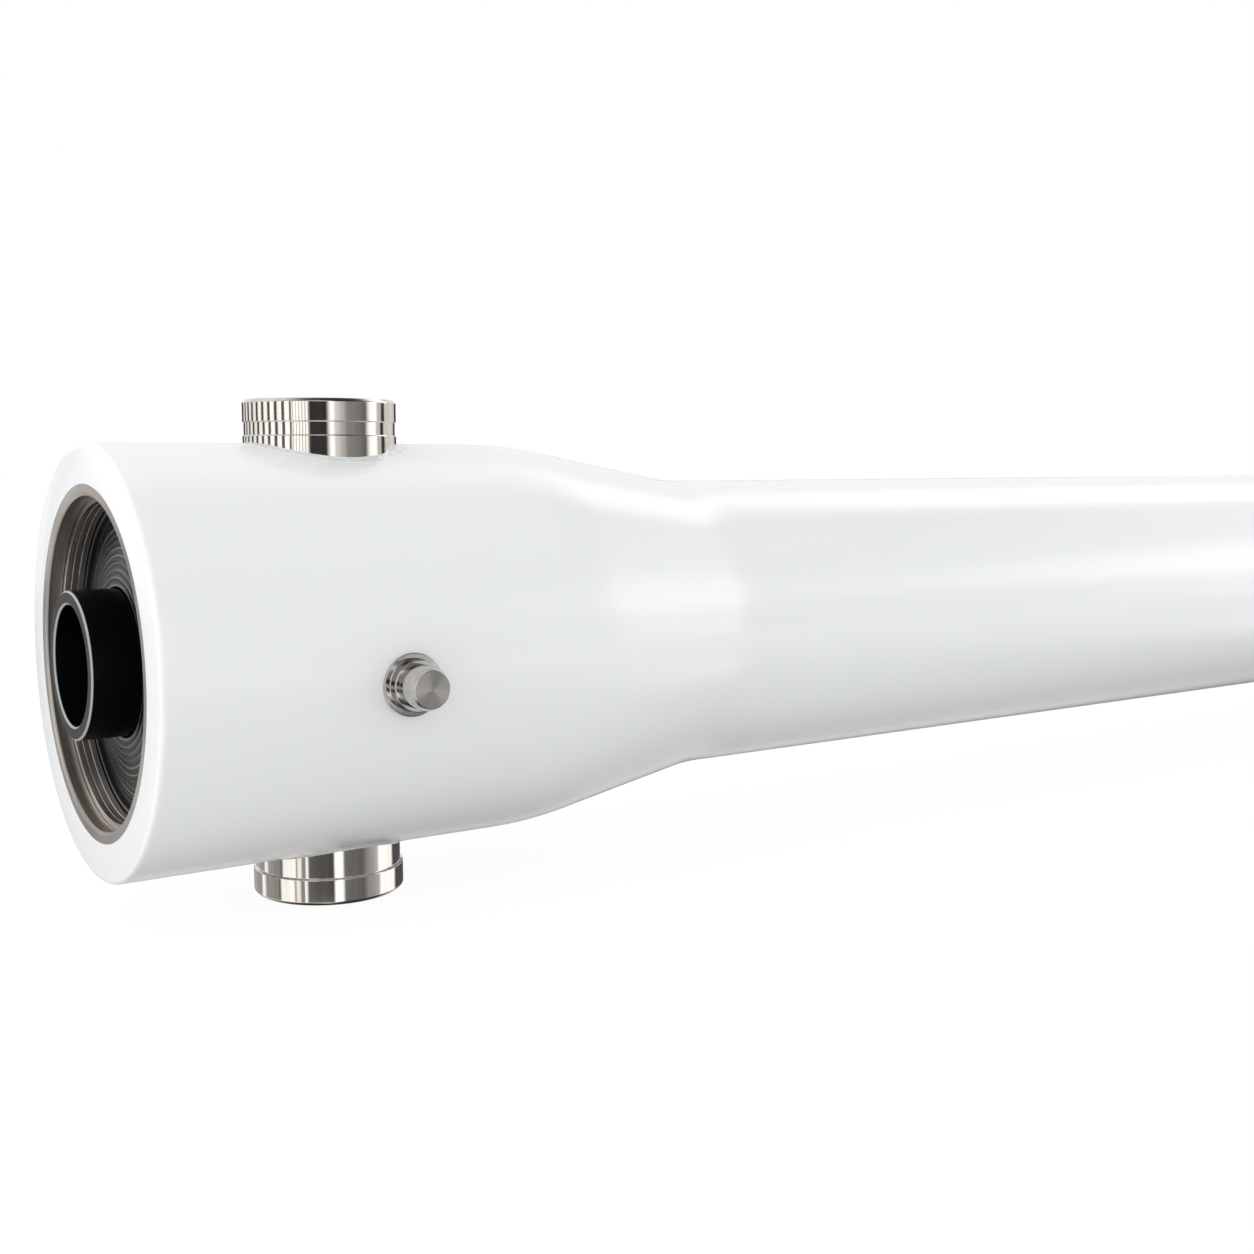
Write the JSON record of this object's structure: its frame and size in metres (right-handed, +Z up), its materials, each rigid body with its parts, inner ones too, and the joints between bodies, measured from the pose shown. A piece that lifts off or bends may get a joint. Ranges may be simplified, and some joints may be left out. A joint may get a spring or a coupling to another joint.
{
  "type": "frp pressure vessel",
  "caption": "Filament-wound tubular housing for reverse-osmosis membranes, with thick heads, grooved side nozzles and a plate closure with a product port at each end.",
  "frame": {"origin": "centre of the bore, midway between the two end faces", "axes": "+X along the shell from the near end to the far end, +Z up along the side nozzles"},
  "size_m": [2.584, 0.3502, 0.356],
  "materials": {
    "wound_laminate": "gloss white paint over filament-wound laminate",
    "resin": "gloss white resin",
    "insert_steel": "machined stainless",
    "ring_steel": "rolled stainless",
    "nozzle_steel": "turned and polished stainless",
    "fitting_steel": "turned stainless",
    "screw_steel": "stainless",
    "dark_plate": "dark anodised, turned marks",
    "black_plastic": "satin black engineering plastic",
    "seal_rubber": "matt rubber"
  },
  "bodies": {
    "shell_assembly": {"far_locking_insert": "insert_steel", "far_lower_nozzle": "nozzle_steel", "far_lower_nozzle_seal": "seal_rubber", "far_lower_resin_fillet": "resin", "far_sample_boss": "fitting_steel", "far_upper_nozzle": "nozzle_steel", "far_upper_nozzle_seal": "seal_rubber", "far_upper_resin_fillet": "resin", "near_locking_insert": "insert_steel", "near_lower_nozzle": "nozzle_steel", "near_lower_nozzle_seal": "seal_rubber", "near_lower_resin_fillet": "resin", "near_sample_boss": "fitting_steel", "near_upper_nozzle": "nozzle_steel", "near_upper_nozzle_seal": "seal_rubber", "near_upper_resin_fillet": "resin", "shell": "wound_laminate"},
    "near_closure": {"near_bearing_plate": "dark_plate", "near_sealing_plate": "black_plastic", "near_plate_screws": "screw_steel", "near_head_seal": "seal_rubber", "near_product_port": "black_plastic", "near_port_seal": "seal_rubber", "near_snap_ring": "ring_steel", "near_adapter": "black_plastic", "near_adapter_seals": "seal_rubber", "near_retaining_ring": "ring_steel"},
    "near_plug_ring": {"near_plug_seal": "seal_rubber"},
    "near_plug": {"near_sample_plug": "fitting_steel"},
    "far_closure": {"far_bearing_plate": "dark_plate", "far_sealing_plate": "black_plastic", "far_plate_screws": "screw_steel", "far_head_seal": "seal_rubber", "far_product_port": "black_plastic", "far_port_seal": "seal_rubber", "far_snap_ring": "ring_steel", "far_adapter": "black_plastic", "far_adapter_seals": "seal_rubber", "far_retaining_ring": "ring_steel", "far_thrust_cone": "black_plastic"},
    "far_plug_ring": {"far_plug_seal": "seal_rubber"},
    "far_plug": {"far_sample_plug": "fitting_steel"}
  },
  "joints": [
    {"name": "near_closure_slide", "type": "slide", "parent": "shell_assembly", "child": "near_closure", "axis": [-1, 0, 0], "range_m": [0, 0.27], "deforming": ["near_retaining_ring"]},
    {"name": "near_plug_travel", "type": "slide", "parent": "shell_assembly", "child": "near_plug_ring", "axis": [0, -1, 0], "range_m": [0, 0.01653]},
    {"name": "near_plug_turn", "type": "hinge", "parent": "near_plug_ring", "child": "near_plug", "pos_m": [-1.1145, -0.157, -0.0095], "axis": [0, -1, 0], "range_deg": [0, 3240]},
    {"name": "far_closure_slide", "type": "slide", "parent": "shell_assembly", "child": "far_closure", "axis": [1, 0, 0], "range_m": [0, 0.27], "deforming": ["far_retaining_ring"]},
    {"name": "far_plug_travel", "type": "slide", "parent": "shell_assembly", "child": "far_plug_ring", "axis": [0, 1, 0], "range_m": [0, 0.01653]},
    {"name": "far_plug_turn", "type": "hinge", "parent": "far_plug_ring", "child": "far_plug", "pos_m": [1.1145, 0.157, -0.0095], "axis": [0, 1, 0], "range_deg": [0, 3240]}
  ],
  "couplings": [
    {"joint": "near_plug_travel", "follows": "near_plug_turn", "m_per_rad": 0.00028871},
    {"joint": "far_plug_travel", "follows": "far_plug_turn", "m_per_rad": 0.00028871}
  ]
}
